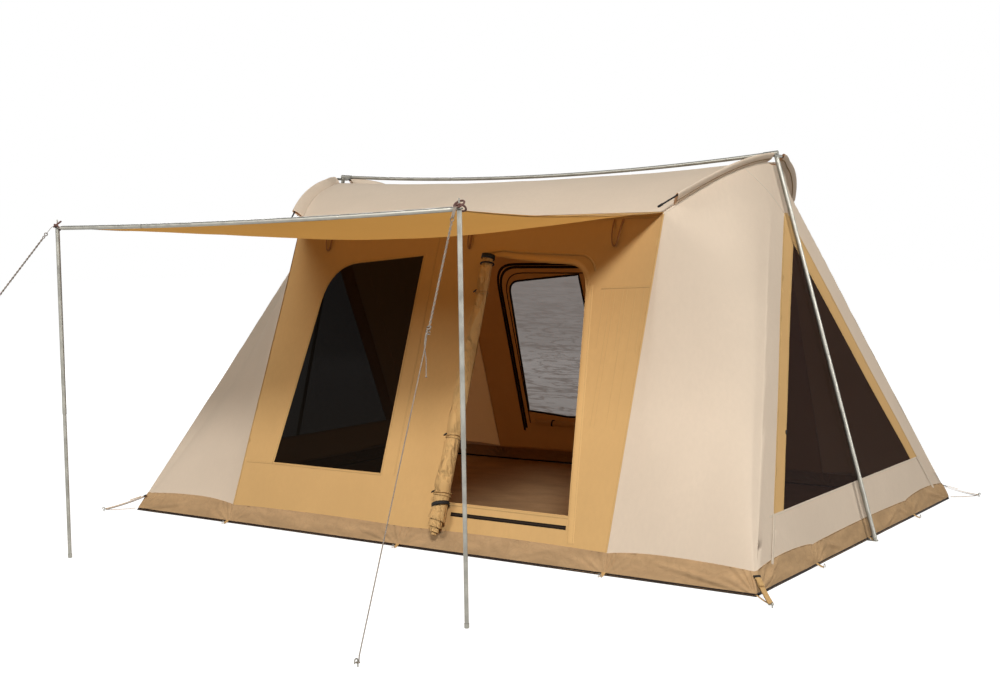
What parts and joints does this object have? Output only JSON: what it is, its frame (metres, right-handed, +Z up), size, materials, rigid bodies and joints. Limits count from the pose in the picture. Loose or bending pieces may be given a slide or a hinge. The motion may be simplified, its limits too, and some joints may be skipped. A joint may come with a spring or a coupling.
{
  "type": "canvas cabin tent",
  "caption": "Spring-bow canvas cabin tent with arched roof, mesh windows, rolled front door and a pole-held front awning on guy lines.",
  "frame": {"origin": "centre of the groundsheet's underside, on the ground", "axes": "+Z up, -Y towards the front (door and awning), +X to the right seen from the front"},
  "size_m": [4.4846, 5.2095, 2.1145],
  "materials": {
    "cream_canvas": "matte woven cotton",
    "tan_canvas": "matte woven cotton",
    "brown_fabric": "coated matte fabric",
    "insect_mesh": "open black mesh",
    "galvanised_steel": "dull galvanised",
    "black_spring_steel": "satin black",
    "brown_leather": "dull",
    "guy_cord": "braided cord",
    "tan_webbing": "woven webbing",
    "dark_plastic": "matte"
  },
  "bodies": {
    "tent": {"back_wall": "tan_canvas", "bow_rod_back_left": "black_spring_steel", "bow_rod_back_right": "black_spring_steel", "bow_rod_front_left": "black_spring_steel", "bow_rod_front_right": "black_spring_steel", "corner_anchor_back_left": "tan_webbing", "corner_anchor_back_right": "tan_webbing", "corner_anchor_front_left": "tan_webbing", "corner_anchor_front_right": "tan_webbing", "corner_back_left": "cream_canvas", "corner_back_right": "cream_canvas", "corner_front_left": "cream_canvas", "corner_front_right": "cream_canvas", "foot_pin_left": "galvanised_steel", "foot_pin_right": "galvanised_steel", "front_wall": "tan_canvas", "front_window_mesh": "insect_mesh", "gable_left": "tan_canvas", "gable_mesh_left": "insect_mesh", "gable_mesh_right": "insect_mesh", "gable_right": "tan_canvas", "gable_top_left": "cream_canvas", "gable_top_right": "cream_canvas", "groundsheet": "brown_fabric", "guy_peg_left": "galvanised_steel", "guy_peg_right": "galvanised_steel", "guy_rope_left": "guy_cord", "guy_rope_right": "guy_cord", "hub_left": "galvanised_steel", "hub_right": "galvanised_steel", "ridge_tube_left": "galvanised_steel", "ridge_tube_middle": "galvanised_steel", "ridge_tube_right": "galvanised_steel", "roof_canopy": "cream_canvas", "sleeve_back_left": "cream_canvas", "sleeve_back_right": "cream_canvas", "sleeve_front_left": "cream_canvas", "sleeve_front_right": "cream_canvas", "upright_lower_left": "galvanised_steel", "upright_lower_right": "galvanised_steel", "upright_upper_left": "galvanised_steel", "upright_upper_right": "galvanised_steel"},
    "awning": {"awning_sheet": "tan_canvas", "awning_bar_left": "galvanised_steel", "awning_bar_middle": "galvanised_steel", "awning_bar_right": "galvanised_steel"},
    "door_roll_flap": {"door_roll": "tan_canvas"},
    "back_door_flap": {"back_door": "tan_canvas", "back_door_mesh": "insect_mesh", "back_cover_roll": "tan_canvas"},
    "pole_left_base": {"pole_lower_left": "galvanised_steel"},
    "pole_left_top": {"pole_upper_left": "galvanised_steel", "pole_strap_left": "brown_leather"},
    "slider_left": {"guy_slider_left": "tan_webbing"},
    "puller_left": {"zip_puller_left": "dark_plastic"},
    "pole_right_base": {"pole_lower_right": "galvanised_steel"},
    "pole_right_top": {"pole_upper_right": "galvanised_steel", "pole_strap_right": "brown_leather"},
    "slider_right": {"guy_slider_right": "tan_webbing"},
    "puller_right": {"zip_puller_right": "dark_plastic"}
  },
  "joints": [
    {"name": "awning_tilt", "type": "hinge", "parent": "tent", "child": "awning", "pos_m": [0, -0.8027, 1.772], "axis": [1, 0, 0], "range_deg": [0, 5], "deforming": ["guy_rope_left", "guy_rope_right"]},
    {"name": "pole_left_lean", "type": "hinge", "parent": "tent", "child": "pole_left_base", "pos_m": [-1.33, -2.54, 0], "axis": [1, 0, 0], "range_deg": [-0.4, 0]},
    {"name": "pole_left_slide", "type": "slide", "parent": "pole_left_base", "child": "pole_left_top", "axis": [0, 0, 1], "range_m": [-0.154, 0]},
    {"name": "pole_right_lean", "type": "hinge", "parent": "tent", "child": "pole_right_base", "pos_m": [1.28, -2.54, 0], "axis": [1, 0, 0], "range_deg": [-0.4, 0]},
    {"name": "pole_right_slide", "type": "slide", "parent": "pole_right_base", "child": "pole_right_top", "axis": [0, 0, 1], "range_m": [-0.154, 0]},
    {"name": "door_swing", "type": "hinge", "parent": "tent", "child": "door_roll_flap", "pos_m": [0.285, -1.11056, 0.9], "axis": [0, 0.3345, 0.9424], "range_deg": [0, 25]},
    {"name": "back_door_swing", "type": "hinge", "parent": "tent", "child": "back_door_flap", "pos_m": [-0.15, 1.11056, 0.9], "axis": [0, 0.3345, -0.9424], "range_deg": [0, 110]},
    {"name": "zip_left_slide", "type": "slide", "parent": "tent", "child": "puller_left", "axis": [0.2103, 0.5717, 0.793], "range_m": [-0.4, 1.1]},
    {"name": "zip_right_slide", "type": "slide", "parent": "tent", "child": "puller_right", "axis": [-0.2103, 0.5717, 0.793], "range_m": [-0.4, 1.1]},
    {"name": "slider_left_slide", "type": "slide", "parent": "tent", "child": "slider_left", "axis": [0.3718, 0.4837, 0.7923], "range_m": [0, 0.3]},
    {"name": "slider_right_slide", "type": "slide", "parent": "tent", "child": "slider_right", "axis": [0.0174, 0.3403, 0.9402], "range_m": [0, 0.3]}
  ],
  "couplings": [
    {"joint": "pole_left_lean", "follows": "awning_tilt", "ratio": -0.0555},
    {"joint": "pole_left_slide", "follows": "awning_tilt", "m_per_rad": -1.7355},
    {"joint": "pole_right_lean", "follows": "awning_tilt", "ratio": -0.04},
    {"joint": "pole_right_slide", "follows": "awning_tilt", "m_per_rad": -1.7355}
  ]
}
